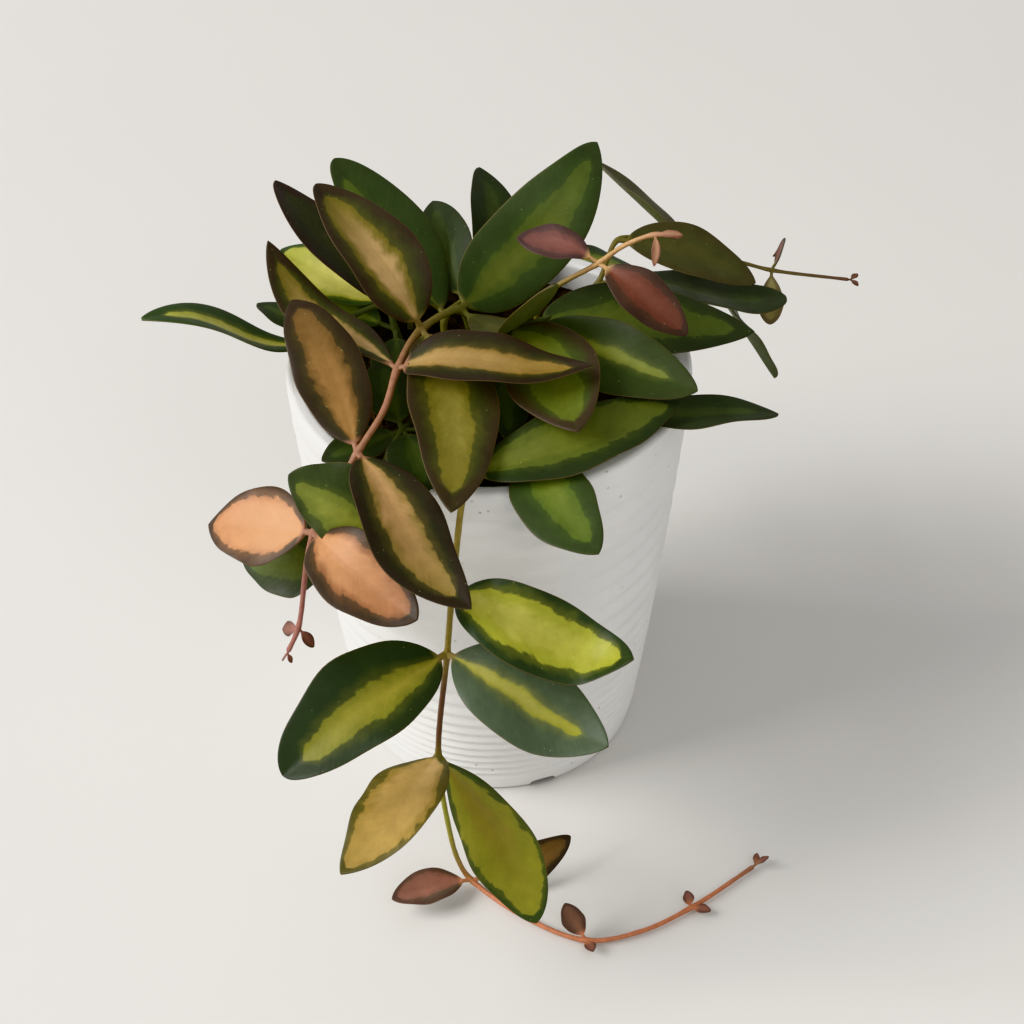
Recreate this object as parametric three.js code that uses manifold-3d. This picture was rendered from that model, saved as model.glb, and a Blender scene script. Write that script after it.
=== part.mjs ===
// A trailing variegated hoya in a ribbed white ceramic pot.
// Millimetres, +Z up. The origin is the centre of the pot's flat foot, and -Y is the front.
import * as THREE from "three";
import { mergeVertices } from "three/addons/utils/BufferGeometryUtils.js";
import Module from "manifold-3d";

const wasm = await Module();
wasm.setup();

// Pot
const POT_HEIGHT = 150;
const FOOT_RADIUS = 49;
const RIM_RADIUS = 65;
const POT_BELLY = 0.9; // how far the wall bows out halfway up
const WALL = 5.5;
const FLOOR = 6;
const POT_SIDES = 32;
const RIM_ROUND = 1.6;
const RIM_CORNER = 0.3; // where the rounding turns, as a share of it
const INSIDE_HEIGHTS = [110, 60, 12];
const FOOT_ROUND = 1.2;

// Ribs: level rings, close together near the foot and wide apart near the rim
const RIB_DEPTH = 0.5; // from crest to groove
const TOP_RIB = 144;
const LOWEST_RIB = 7;
const NARROW_PITCH = 3.2;
const PITCH_GROWTH = 6;
const PITCH_CHANGE_HEIGHT = 50;
const PITCH_CHANGE_SPREAD = 12;

// Air notches in the edge of the foot
const NOTCH_WIDTH = 10;
const NOTCH_HEIGHT = 1.7;
const NOTCH_SHOULDER = 0.9;
const NOTCH_DEPTH = 8;
const NOTCH_OVERRUN = 1; // how far the cutter reaches below the foot
const NOTCH_COUNT = 3;
const FIRST_NOTCH_ANGLE = -72; // degrees from +X

// Potting mix
const MIX_TOP = 141;
const MIX_CLEARANCE = 0.3;
const MIX_RELIEF = 0.7;
const MIX_RINGS = [50, 38, 26, 13];
const BUMP_TURNS = [0.31, 0.27, 0.17]; // radians a millimetre
const HOLE_CLEARANCE = 0.5;
const HOLE_SIDES = 8;
const ROOT_DEPTH = 15; // how deep each stem stands in the mix
const ROOT_END = MIX_TOP - ROOT_DEPTH;

// Leaves
const BLADE_THICKNESS = 1.5; // over the midrib
const EDGE_THICKNESS = 0.7;
const STALK_THICKNESS = 2;
const BLADE_STEPS = 6;
const BLADE_LANES = 4;
const SMALL_LEAF = 40; // shorter leaves get fewer faces
const BASE_HALF_WIDTH = 1;
const TIP_HALF_WIDTH = 0.4;
const FOLD_SOFTNESS = 0.03; // rounds the fold along the midrib
const STEM_SIDES = 6;
const STEM_STEP = 9;
const STEM_TAPER = 0.75; // radius at the growing tip, as a share of the radius at the root

// Every stem is the run of points that it passes through after it leaves the mix at its root, and its
// points are numbered from 0. A leaf row gives, in this order: the point it grows from, heading, pitch
// and roll in degrees, blade length, width and stalk length, arch, sway and curl as shares of the
// length, cup and twist in degrees, and where along the blade it is widest.
const STEMS = {
  left: {
    radius: 1.4,
    root: [-4, 14],
    path: [
      [-6, 12, 155], [-9, 8, 165], [-21, -6, 168], [-28, -27, 169], [-40, -53, 158],
      [-54, -66, 138], [-61, -71, 103], [-64, -72, 91],
    ],
    leaves: [
      [1, 50, 20, -42, 70, 29, 6, -0.04, -0.05, -0.08, 2, 5, 0.42],
      [1, -50, 37, -3, 50, 22, 6, -0.1, 0.06, -0.05, 0, -10, 0.47],
      [2, 138, 40, 2, 50, 28, 6, 0.11, 0.03, 0.02, 18, 25, 0.42],
      [2, -84, -14, 8, 62, 28, 6, 0.05, 0.06, 0.03, 12, -4, 0.47],
      [3, 130, 15, -52, 60, 28, 6, -0.05, 0.02, 0.07, 8, -18, 0.47],
      [3, -14, 11, -5, 57, 26, 6, 0.08, -0.06, 0.03, 20, 0, 0.44],
      [4, 112, 15, 25, 54, 23, 6, -0.03, -0.04, -0.04, 8, -5, 0.45],
      [4, -56, -17, 0, 56, 26, 6, 0.05, -0.07, 0.06, 14, 20, 0.47],
      [5, -48, -4, -30, 42, 24, 5, 0.1, -0.03, 0.04, 15, 12, 0.46],
      [5, 154, -16, 29, 34, 26, 5, 0.01, -0.02, -0.02, 5, 10, 0.45],
      [6, 150, -30, 0, 6, 5, 1, 0, 0, 0, 10, 0, 0.5],
      [6, -30, -50, 0, 8, 6, 2, 0, 0, 0, 10, 0, 0.5],
    ],
  },
  front: {
    radius: 1.2,
    root: [6, -34],
    path: [
      [4, -47, 154], [-3, -60, 158], [-8, -71, 152], [-13, -79, 122], [-15, -83, 102],
      [-19, -89, 63], [-17, -92, 34], [-14, -92, 14], [-10, -92, 4], [6, -105, 1.5],
      [27, -116, 1.5], [45, -113, 1.5], [62, -104, 1.5], [85, -87, 1.5],
    ],
    leaves: [
      [1, 16, 8, -24, 63, 29, 6, 0.04, -0.14, 0, 15, 0, 0.45],
      [3, -32, 5, -30, 56, 25, 6, 0.04, -0.04, 0.13, 10, -10, 0.49],
      [4, -142, -10, 20, 57, 32, 6, 0.11, -0.02, 0, 20, 5, 0.46],
      [4, -34, -8, -27, 54, 29, 6, 0.07, -0.02, 0.08, 10, -5, 0.48],
      [5, -123, -2, -10, 48, 27, 6, 0.1, 0.1, 0.02, 14, -15, 0.46],
      [5, -52, -38, -55, 55, 26, 6, 0.03, 0.08, 0, 10, -38, 0.5],
      [8, -160, 6, 15, 25, 13, 3, 0.04, -0.02, 0, 14, -10, 0.48],
      [8, 16, 16, -62, 33, 15, 3, 0.06, -0.05, 0, 15, 0, 0.47],
      [10, 130, 42, 40, 12, 8, 2, 0.05, 0, 0, 10, 0, 0.5],
      [10, -70, 12, 0, 5, 4, 1, 0.05, 0, 0, 10, 0, 0.5],
      [12, 110, 50, 0, 5, 4, 1, 0.05, 0, 0, 10, 0, 0.5],
      [12, -20, 10, 0, 6, 4, 1, 0.05, 0, 0, 10, 0, 0.5],
    ],
  },
  shoot: {
    radius: 1.2,
    root: [14, 12],
    path: [[15, 10, 156], [18, 10, 168], [35, 9, 181], [43, 7, 189], [52, 5, 194], [60, 2, 195]],
    leaves: [
      [2, 163, 10, 22, 24, 13, 3, 0.06, -0.05, 0.02, 15, -15, 0.48],
      [2, -35, -24, -30, 33, 16, 3, 0.07, 0, 0.02, 18, 0, 0.46],
      [4, -20, 10, 0, 8, 4, 1, 0.05, 0, 0, 10, 0, 0.5],
    ],
  },
  right: {
    radius: 1,
    root: [24, 28],
    path: [
      [29, 29, 152], [36, 31, 157], [43, 40, 168], [57, 50, 159], [69, 54, 154],
      [87, 55, 150], [97, 57, 146], [128, 59, 137],
    ],
    leaves: [
      [2, 3, -21, -5, 46, 25, 6, 0.04, 0.12, 0, 18, 0, 0.45],
      [4, 124, 10, -42, 50, 23, 6, 0.04, 0, 0, 14, -15, 0.47],
      [4, -10, -52, 28, 47, 21, 6, 0.05, 0, 0, 15, 22, 0.47],
      [6, 60, 40, 60, 8, 6, 1, 0.05, 0, 0, 10, 0, 0.5],
      [6, -100, -50, 0, 16, 8, 2, 0.05, 0, 0, 10, 0, 0.5],
      [1, 8, -11, 24, 60, 27, 6, 0.01, -0.04, 0.03, 7, 30, 0.48],
    ],
  },
  middle: {
    radius: 1.2,
    root: [2, -12],
    path: [[3, -9, 156], [6, -4, 167], [14, -4, 168], [20, -3, 170]],
    leaves: [
      [2, 6, -9, -18, 67, 33, 6, 0.01, 0.08, 0, 8, 10, 0.45],
      [2, -34, -3, -32, 54, 25, 6, 0.04, -0.03, 0, 15, 0, 0.47],
      [1, -65, -4, -27, 47, 27, 6, 0.02, 0.06, 0.04, 6, -14, 0.48],
    ],
  },
  rim: {
    radius: 1.2,
    root: [16, -32],
    path: [[11, -45, 152], [24, -41, 154], [34, -34, 157], [41, -31, 159]],
    leaves: [
      [2, 5, -8, 8, 50, 23, 6, 0.01, -0.03, -0.02, 12, -4, 0.47],
      [0, -66, -5, -12, 42, 25, 6, 0.07, -0.06, 0.02, 12, 0, 0.47],
    ],
  },
  back: {
    radius: 1.3,
    root: [-14, 16],
    path: [
      [-14, 19, 154], [-8, 27, 154], [-1, 34, 153], [11, 45, 153], [16, 56, 156],
      [19, 66, 154], [21, 73, 138], [21, 77, 110], [20, 79, 88],
    ],
    leaves: [
      [0, 128, 27, -12, 62, 29, 6, 0, -0.04, 0, 10, -15, 0.46],
      [1, 102, 10, 20, 42, 20, 6, 0.05, 0, 0, 15, 0, 0.47],
      [2, 91, 19, -30, 45, 21, 6, 0.08, -0.04, 0, 17, 5, 0.47],
      [6, 15, -30, 15, 46, 25, 6, 0.08, 0, 0, 14, 0, 0.47],
      [6, 145, -30, -15, 44, 24, 6, 0.08, 0, 0, 14, 0, 0.47],
      [7, 55, -45, 0, 42, 23, 6, 0.08, 0, 0, 14, 0, 0.47],
      [7, 125, -50, 0, 36, 20, 6, 0.08, 0, 0, 14, 0, 0.47],
      [8, 90, -30, 0, 12, 7, 2, 0.06, 0, 0, 14, 0, 0.47],
    ],
  },
  side: {
    radius: 1.2,
    root: [-26, 10],
    path: [[-30, 13, 154], [-33, 16, 161], [-45, 11, 160], [-55, 4, 156], [-62, 0, 155]],
    leaves: [
      [1, 135, 27, -20, 50, 24, 6, 0.02, 0.05, 0, 11, 0, 0.47],
      [1, 137, 0, 18, 42, 21, 6, 0.05, 0.03, 0, 15, 0, 0.47],
      [3, 189, 18, -16, 50, 25, 6, 0, 0, -0.05, 10, -4, 0.47],
      [3, 135, 3, -6, 25, 12, 3, 0.06, 0, 0, 16, 0, 0.47],
      [0, 150, 3, 10, 32, 17, 5, 0.04, 0.03, 0, 14, 0, 0.47],
      [0, -92, -6, 0, 27, 16, 5, 0.03, 0.03, 0, 14, 0, 0.47],
    ],
  },
  corner: {
    radius: 1.2,
    root: [-22, -22],
    path: [[-27, -38, 154], [-33, -56, 154], [-37, -67, 147], [-42, -70, 137], [-45, -71, 127]],
    leaves: [
      [2, 142, -16, 45, 35, 21, 5, -0.03, 0.02, 0.03, 0, -20, 0.45],
      [3, -170, -20, 55, 30, 18, 5, 0.06, 0.08, 0, 14, 0, 0.46],
      [0, -146, -7, 5, 24, 13, 6, 0.03, 0.03, 0, 14, 0, 0.47],
      [0, 0, -8, -10, 24, 15, 5, 0.03, 0.03, 0, 14, 0, 0.47],
      [0, 98, 4, 0, 25, 15, 5, 0.03, 0.03, 0, 14, 0, 0.47],
    ],
  },
  rear: {
    radius: 1.2,
    root: [-26, 32],
    path: [
      [-31, 44, 153], [-34, 55, 156], [-37, 64, 153], [-39, 70, 136], [-40, 73, 110],
      [-39, 75, 92],
    ],
    leaves: [
      [3, 75, -35, 0, 42, 23, 6, 0.08, 0, 0, 14, 0, 0.47],
      [3, 165, -35, -15, 38, 21, 6, 0.08, 0, 0, 14, 0, 0.47],
      [4, 140, -45, 0, 36, 20, 6, 0.08, 0, 0, 14, 0, 0.47],
      [4, 60, -60, 0, 32, 18, 6, 0.08, 0, 0, 14, 0, 0.47],
      [5, 100, -30, 0, 10, 6, 2, 0.06, 0, 0, 14, 0, 0.47],
    ],
  },
};

const radians = THREE.MathUtils.degToRad;

// Geometry helpers

function solid(geometry) {
  const bare = geometry.clone();
  bare.deleteAttribute("normal");
  bare.deleteAttribute("uv");
  const merged = mergeVertices(bare, 1e-4);
  return new wasm.Manifold(
    new wasm.Mesh({
      numProp: 3,
      vertProperties: new Float32Array(merged.attributes.position.array),
      triVerts: new Uint32Array(merged.index.array),
    }),
  );
}

function surface(body) {
  const mesh = body.getMesh();
  const geometry = new THREE.BufferGeometry();
  geometry.setAttribute("position", new THREE.BufferAttribute(new Float32Array(mesh.vertProperties), 3));
  geometry.setIndex(new THREE.BufferAttribute(new Uint32Array(mesh.triVerts), 1));
  geometry.computeVertexNormals();
  return geometry;
}

function piece(name, body, color, roughness) {
  const material = new THREE.MeshStandardMaterial({ color, roughness, metalness: 0 });
  const mesh = new THREE.Mesh(surface(body), material);
  mesh.name = name;
  return mesh;
}

function turned(profile, sides) {
  const points = profile.map(([radius, height]) => new THREE.Vector2(radius, height));
  return new THREE.LatheGeometry(points, sides).rotateX(Math.PI / 2);
}

// A closed body through rings of points. Every ring has the same even number of points and runs first
// over one face and then back over the other, and the two faces are split into triangles alike.
function loft(rings) {
  const count = rings[0].length;
  const last = rings.length - 1;
  const index = [];
  const at = (ring, i) => ring * count + (i % count);
  for (let ring = 0; ring < last; ring += 1) {
    for (let i = 0; i < count; i += 1) {
      const [a, b] = [at(ring, i), at(ring + 1, i)];
      const [c, d] = [at(ring + 1, i + 1), at(ring, i + 1)];
      index.push(...(i < count / 2 ? [a, b, c, a, c, d] : [b, c, d, b, d, a]));
    }
  }
  for (let i = 0; i < count / 2 - 1; i += 1) {
    const [a, b, c, d] = [i, i + 1, count - 2 - i, count - 1 - i];
    index.push(a, b, c, a, c, d);
    index.push(...[c, b, a, d, c, a].map((corner) => at(last, corner)));
  }
  const positions = rings.flat().flatMap((point) => point.toArray());
  const geometry = new THREE.BufferGeometry();
  geometry.setAttribute("position", new THREE.BufferAttribute(new Float32Array(positions), 3));
  geometry.setIndex(index);
  return solid(geometry);
}

// Pot

function outerRadius(height) {
  const share = height / POT_HEIGHT;
  const bow = 4 * POT_BELLY * share * (1 - share);
  return FOOT_RADIUS + (RIM_RADIUS - FOOT_RADIUS) * share + bow;
}

function ribPitch(height) {
  const rise = 1 + Math.exp((PITCH_CHANGE_HEIGHT - height) / PITCH_CHANGE_SPREAD);
  return NARROW_PITCH + PITCH_GROWTH / rise;
}

function ribbedWall() {
  const points = [];
  for (let crest = TOP_RIB; crest > LOWEST_RIB; crest -= ribPitch(crest)) {
    const groove = crest - ribPitch(crest) / 2;
    points.push([outerRadius(crest) + RIB_DEPTH / 2, crest]);
    points.push([outerRadius(groove) - RIB_DEPTH / 2, groove]);
  }
  return points.reverse();
}

function innerRadius(height) {
  return outerRadius(height) - WALL;
}

function potProfile() {
  const lip = POT_HEIGHT - RIM_ROUND;
  return [
    [0, 0],
    [FOOT_RADIUS - FOOT_ROUND, 0],
    [outerRadius(FOOT_ROUND), FOOT_ROUND],
    ...ribbedWall(),
    [outerRadius(lip), lip],
    [RIM_RADIUS - RIM_CORNER * RIM_ROUND, POT_HEIGHT - RIM_CORNER * RIM_ROUND],
    [RIM_RADIUS - RIM_ROUND, POT_HEIGHT],
    [RIM_RADIUS - WALL + RIM_ROUND, POT_HEIGHT],
    [RIM_RADIUS - WALL + RIM_CORNER * RIM_ROUND, POT_HEIGHT - RIM_CORNER * RIM_ROUND],
    [innerRadius(lip), lip],
    ...INSIDE_HEIGHTS.map((height) => [innerRadius(height), height]),
    [innerRadius(FLOOR) - FLOOR, FLOOR],
    [0, FLOOR],
  ];
}

function notchCutter(angle) {
  const half = NOTCH_WIDTH / 2;
  const arch = new THREE.Shape();
  arch.moveTo(-half, -NOTCH_OVERRUN);
  arch.lineTo(half, -NOTCH_OVERRUN);
  arch.lineTo(half, NOTCH_SHOULDER);
  arch.quadraticCurveTo(half, NOTCH_HEIGHT, 0, NOTCH_HEIGHT);
  arch.quadraticCurveTo(-half, NOTCH_HEIGHT, -half, NOTCH_SHOULDER);
  const options = { depth: 2 * NOTCH_DEPTH, bevelEnabled: false, curveSegments: 4 };
  return new THREE.ExtrudeGeometry(arch, options)
    .rotateX(Math.PI / 2)
    .rotateZ(Math.PI / 2)
    .translate(FOOT_RADIUS - NOTCH_DEPTH, 0, 0)
    .rotateZ(radians(angle));
}

function pot() {
  let body = solid(turned(potProfile(), POT_SIDES));
  for (let i = 0; i < NOTCH_COUNT; i += 1) {
    const angle = FIRST_NOTCH_ANGLE + (360 * i) / NOTCH_COUNT;
    body = body.subtract(solid(notchCutter(angle)));
  }
  return piece("pot", body, 0xefedea, 0.45);
}

// Potting mix

function mixProfile() {
  const foot = FLOOR + MIX_CLEARANCE;
  const heights = [MIX_TOP, ...INSIDE_HEIGHTS].reverse();
  const wall = heights.map((height) => [innerRadius(height) - MIX_CLEARANCE, height]);
  return [
    [0, foot],
    [innerRadius(FLOOR) - FLOOR - MIX_CLEARANCE, foot],
    ...wall,
    ...MIX_RINGS.map((radius) => [radius, MIX_TOP]),
    [0, MIX_TOP],
  ];
}

function roughen(geometry) {
  const place = geometry.attributes.position;
  for (let i = 0; i < place.count; i += 1) {
    const x = place.getX(i);
    const y = place.getY(i);
    const onTop = place.getZ(i) > MIX_TOP - 1 && Math.hypot(x, y) < MIX_RINGS[0] + 1;
    const coarse = Math.sin(x * BUMP_TURNS[0] + 1) * Math.cos(y * BUMP_TURNS[1]);
    const fine = Math.sin((x - y) * BUMP_TURNS[2]) / 2;
    if (onTop) place.setZ(i, MIX_TOP + MIX_RELIEF * (coarse + fine));
  }
  return geometry;
}

function pottingMix() {
  let body = solid(roughen(turned(mixProfile(), POT_SIDES)));
  for (const { root, radius } of Object.values(STEMS)) {
    const bottom = ROOT_END - MIX_CLEARANCE;
    const bore = radius + HOLE_CLEARANCE;
    const hole = new THREE.CylinderGeometry(bore, bore, 2 * ROOT_DEPTH, HOLE_SIDES)
      .rotateX(Math.PI / 2)
      .translate(root[0], root[1], bottom + ROOT_DEPTH);
    body = body.subtract(solid(hole));
  }
  return piece("potting_mix", body, 0x2a211b, 0.95);
}

// Leaves

// The leaf's own axes: along from stalk to tip, up out of its upper face, and side across it.
function leafAxes(heading, pitch, roll) {
  const h = radians(heading);
  const p = radians(pitch);
  const along = new THREE.Vector3(Math.cos(p) * Math.cos(h), Math.cos(p) * Math.sin(h), Math.sin(p));
  const level = new THREE.Vector3(-Math.sin(p) * Math.cos(h), -Math.sin(p) * Math.sin(h), Math.cos(p));
  const up = level.applyAxisAngle(along, -radians(roll));
  const side = new THREE.Vector3().crossVectors(up, along);
  return { along, up, side };
}

// A point of the midrib, share 0 at the stem and share 1 at the tip.
function midrib(share, origin, axes, total, arch, sway, curl) {
  const bow = Math.sin(Math.PI * share);
  const wave = Math.sin(2 * Math.PI * share);
  return origin
    .clone()
    .addScaledVector(axes.along, total * share)
    .addScaledVector(axes.up, total * (arch * bow + curl * wave))
    .addScaledVector(axes.side, total * sway * bow);
}

function halfWidth(share, width, fullest) {
  const power = Math.log(0.5) / Math.log(fullest);
  const outline = Math.pow(Math.sin(Math.PI * Math.pow(share, power)), 0.72 + 0.14 * share);
  const least = THREE.MathUtils.lerp(BASE_HALF_WIDTH, TIP_HALF_WIDTH, share);
  return share > 0 ? Math.max((width / 2) * outline, least) : least;
}

// The ring of points round the blade or the stalk at one place: over the upper face and back under it.
function leafRing(lanes, rib, ahead, axes, half, thickness, cup, turn) {
  const forward = ahead.clone().sub(rib).normalize();
  const across = axes.side.clone().addScaledVector(forward, -axes.side.dot(forward)).normalize();
  across.applyAxisAngle(forward, turn);
  const normal = new THREE.Vector3().crossVectors(forward, across);
  const face = (sign) =>
    Array.from({ length: lanes + 1 }, (_, lane) => {
      const v = (2 * lane) / lanes - 1;
      const fold = Math.sqrt(v * v + FOLD_SOFTNESS) - Math.sqrt(FOLD_SOFTNESS);
      const thick = EDGE_THICKNESS + (thickness - EDGE_THICKNESS) * (1 - v * v);
      return rib
        .clone()
        .addScaledVector(across, half * Math.cos(cup) * v)
        .addScaledVector(normal, half * Math.sin(cup) * fold + (sign * thick) / 2);
    });
  return [...face(1), ...face(-1).reverse()];
}

function leaf(path, row) {
  const [point, heading, pitch, roll, length, width, stalk, arch, sway, curl, cup, twist, fullest] = row;
  const origin = new THREE.Vector3(...path[point]);
  const axes = leafAxes(heading, pitch, roll);
  const total = length + stalk;
  const small = length < SMALL_LEAF;
  const steps = small ? BLADE_STEPS - 2 : BLADE_STEPS;
  const lanes = small ? BLADE_LANES / 2 : BLADE_LANES;
  const ring = (share, place, half, thickness) => {
    const rib = midrib(place, origin, axes, total, arch, sway, curl);
    const ahead = midrib(place + 0.01, origin, axes, total, arch, sway, curl);
    const turn = radians(twist) * (share - 0.5);
    return leafRing(lanes, rib, ahead, axes, half, thickness, radians(cup), turn);
  };
  const rings = [ring(0, 0, BASE_HALF_WIDTH, STALK_THICKNESS)];
  for (let i = 0; i <= steps; i += 1) {
    const share = i / steps;
    const place = (stalk + length * share) / total;
    const thickness = i === 0 ? STALK_THICKNESS : BLADE_THICKNESS;
    rings.push(ring(share, place, halfWidth(share, width, fullest), thickness));
  }
  return loft(rings);
}

// Stems

function stemRing(centre, direction, start, radius) {
  const across = start.clone().addScaledVector(direction, -start.dot(direction)).normalize();
  const up = new THREE.Vector3().crossVectors(across, direction);
  const ring = Array.from({ length: STEM_SIDES }, (_, i) => {
    const angle = (2 * Math.PI * i) / STEM_SIDES;
    return centre
      .clone()
      .addScaledVector(across, radius * Math.cos(angle))
      .addScaledVector(up, radius * Math.sin(angle));
  });
  return { ring, across };
}

// A round stem that passes exactly through its points and grows thinner towards the tip.
function stemBody(points, radius) {
  const curve = new THREE.CatmullRomCurve3(points, false, "centripetal");
  const spans = points.length - 1;
  const rings = [];
  let across = new THREE.Vector3(1, 0, 0);
  for (let span = 0; span < spans; span += 1) {
    const steps = Math.max(1, Math.round(points[span].distanceTo(points[span + 1]) / STEM_STEP));
    const stop = span === spans - 1 ? steps : steps - 1;
    for (let i = 0; i <= stop; i += 1) {
      const share = (span + i / steps) / spans;
      const thick = radius * THREE.MathUtils.lerp(1, STEM_TAPER, share);
      const made = stemRing(curve.getPoint(share), curve.getTangent(share), across, thick);
      rings.push(made.ring);
      across = made.across;
    }
  }
  return loft(rings);
}

function leafyStem(name, { radius, root, path, leaves }, color) {
  const rooted = [ROOT_END, MIX_TOP - 3, MIX_TOP + 2].map((height) => [...root, height]);
  const points = [...rooted, ...path].map((point) => new THREE.Vector3(...point));
  let body = stemBody(points, radius);
  for (const row of leaves) {
    body = body.add(leaf(path, row));
  }
  return piece(`leafy_stem_${name}`, body, color, 0.5);
}

const STEM_COLORS = {
  left: 0x8a6a44,
  front: 0x7c7a3c,
  shoot: 0x7a4a40,
  right: 0x4f6238,
  middle: 0x4c6a30,
  rim: 0x3f5a2c,
  back: 0x3e5a30,
  side: 0x52602f,
  corner: 0x36502a,
  rear: 0x3e5a30,
};

const container = new THREE.Group();
container.add(pot(), pottingMix());

const plant = new THREE.Group();
for (const [name, facts] of Object.entries(STEMS)) {
  plant.add(leafyStem(name, facts, STEM_COLORS[name]));
}

const group = new THREE.Group();
group.add(container, plant);

export default group;
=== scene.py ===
"""A trailing variegated hoya in a ribbed white ceramic pot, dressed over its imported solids.

Lengths in the tables are millimetres and angles are degrees. Everything that reaches Blender is in metres.
"""

import math
from functools import reduce
from types import SimpleNamespace

import bpy
import numpy as np
from mathutils import Matrix, Vector


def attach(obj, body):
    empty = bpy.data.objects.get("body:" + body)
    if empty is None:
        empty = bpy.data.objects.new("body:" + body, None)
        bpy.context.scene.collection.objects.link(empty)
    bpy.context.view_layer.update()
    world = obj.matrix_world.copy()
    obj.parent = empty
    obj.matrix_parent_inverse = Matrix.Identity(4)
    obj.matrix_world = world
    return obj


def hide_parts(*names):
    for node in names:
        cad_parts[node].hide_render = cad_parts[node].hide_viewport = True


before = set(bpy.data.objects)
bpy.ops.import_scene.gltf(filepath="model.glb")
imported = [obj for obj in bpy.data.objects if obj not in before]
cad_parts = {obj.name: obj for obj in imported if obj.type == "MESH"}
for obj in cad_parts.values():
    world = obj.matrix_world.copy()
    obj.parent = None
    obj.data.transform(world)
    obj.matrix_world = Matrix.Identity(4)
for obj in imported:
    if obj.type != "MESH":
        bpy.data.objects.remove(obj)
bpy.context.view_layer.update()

MM = 0.001
rng = np.random.default_rng(7)

# Camera, fitted to the photograph: place, aim and focal length in pixels of the 1024 pixel frame
CAMERA_PLACE = (0.0, -555.61, 583.11)
CAMERA_YAW = 0.673
CAMERA_PITCH = 41.855
CAMERA_ROLL = -0.932
FOCAL_PIXELS = 2200
FRAME_PIXELS = 1024
SENSOR_WIDTH = 36.0
NEAREST_SEEN = 10
FARTHEST_SEEN = 20000

# Light and floor
LIGHT_AIM = (0, 0, 100)
WINDOW = {"place": (-3000, -400, 2400), "size": 2200, "power": 150, "color": (1.0, 0.98, 0.96)}
FRONT_FILL = {"place": (500, -1600, 1500), "size": 1600, "power": 8, "color": (1.0, 0.99, 0.98)}
SKY_COLOR = (1.0, 0.985, 0.96, 1.0)
SKY_STRENGTH = 0.5
FLOOR_REACH = 3000
FLOOR_DROP = 0.2  # how far the floor lies under the foot, so that the two faces never mix

# Pot
POT_HEIGHT = 150.0
FOOT_RADIUS = 49.0
RIM_RADIUS = 65.0
POT_BELLY = 0.9
WALL = 5.5
FLOOR_THICKNESS = 6.0
POT_SIDES = 256
LIP_ROUND = 1.9
LIP_ROUND_STEPS = 9
FOOT_ROUND = 1.2
FOOT_ROUND_STEPS = 6
RIB_DEPTH = 0.75
RIB_STEPS = 7
TOP_RIB = 144.0
LOWEST_RIB = 7.0
NARROW_PITCH = 3.2
PITCH_GROWTH = 6.0
PITCH_CHANGE_HEIGHT = 50.0
PITCH_CHANGE_SPREAD = 12.0
NOTCH_WIDTH = 10.0
NOTCH_HEIGHT = 2.5
NOTCH_DEPTH = 20.0
NOTCH_BELOW = 2
NOTCH_STEPS = 13
NOTCH_ANGLES = (-72, 48, 168)
POT_SHARP_ANGLE = 50

# Potting mix
MIX_TOP = 141.0
MIX_CLEARANCE = 0.4
MIX_SIDES = 96
MIX_RINGS = 40
MIX_UNEVEN = 0.45
MIX_SHARP_ANGLE = 35
CRUMBS = 900
CRUMB_SQUARE = 57
CRUMB_REACH = 56.5  # how far from the axis a crumb may reach
CRUMB_SIZES = (0.7, 2.6)
CRUMB_ROOM = 0.6  # how far crumbs rise over the mix's own surface
CRUMB_SIDES = 6
CRUMB_RINGS = ((-1, 0.55), (-0.5, 1.0), (0.5, 0.95), (1, 0.5))  # level and width

# Leaves
LEAF_STEPS = 46
LEAF_LANES = 22
STALK_STEPS = 6
SMALL_LEAF = 12  # a leaf narrower than this gets half the steps and lanes
STALK_HALF = (0.3, 0.027)  # half a stalk's thickness: a base and its growth with the leaf's width
BLADE_HALF = (0.22, 0.0125)  # the same for the blade over its midrib
TIP_BLUNT = 0.2
PLAIN_BAND = (0.3, 0.1, 0)
FOLD_SOFTNESS = 0.03
EDGE_WAVE = 0.045  # how far an edge rises and falls, as a share of the half-width
OUTLINE_WAVE = 0.02
WAVE_BEATS = (1.4, 2.4)
GROOVE_HALF = 0.9
GROOVE_ABOVE = 0.28
RIDGE_BELOW = 0.4
FULL_GROOVE_WIDTH = 20
VEIN_RELIEF = 0.02
LEAVES_APART = 40.0  # how far apart two leaves' places in the noise can lie
SHEEN_GREY_SHARE = 0.05  # the share of grey mixed into every leaf's colour as a painted sheen

# Stems
ROOT_HEIGHTS = (126.3, 138.0, 143.0)  # where a stem stands upright in the mix
STEM_SIDES = 14
STEM_STEP = 1.3
STEM_UNEVEN = 0.04
STEM_RIBBING = 0.03
STEM_TIP = 2.2
NODE_SWELL = 0.3  # how much thicker a stem is where leaves leave it
NODE_LENGTH = 2.4


def srgb(red, green, blue):
    """A colour given in 0 to 255 display values, as linear values."""
    share = np.array([red, green, blue]) / 255.0
    return np.where(share <= 0.04045, share / 12.92, ((share + 0.055) / 1.055) ** 2.4)


def solid(red, green, blue):
    """The same with an alpha of 1, as a node's colour socket takes it."""
    return (*srgb(red, green, blue), 1.0)


# Tints of details
EDGE_TINT = solid(126, 104, 72)
SPECK_TINT = solid(168, 176, 128)
UNDERSIDE_TINT = solid(112, 124, 76)
# the grey of the painted sheen on every leaf
SHEEN_GREY_TINT = solid(128, 128, 128)
SCAR_TINT = solid(92, 62, 46)

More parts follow.
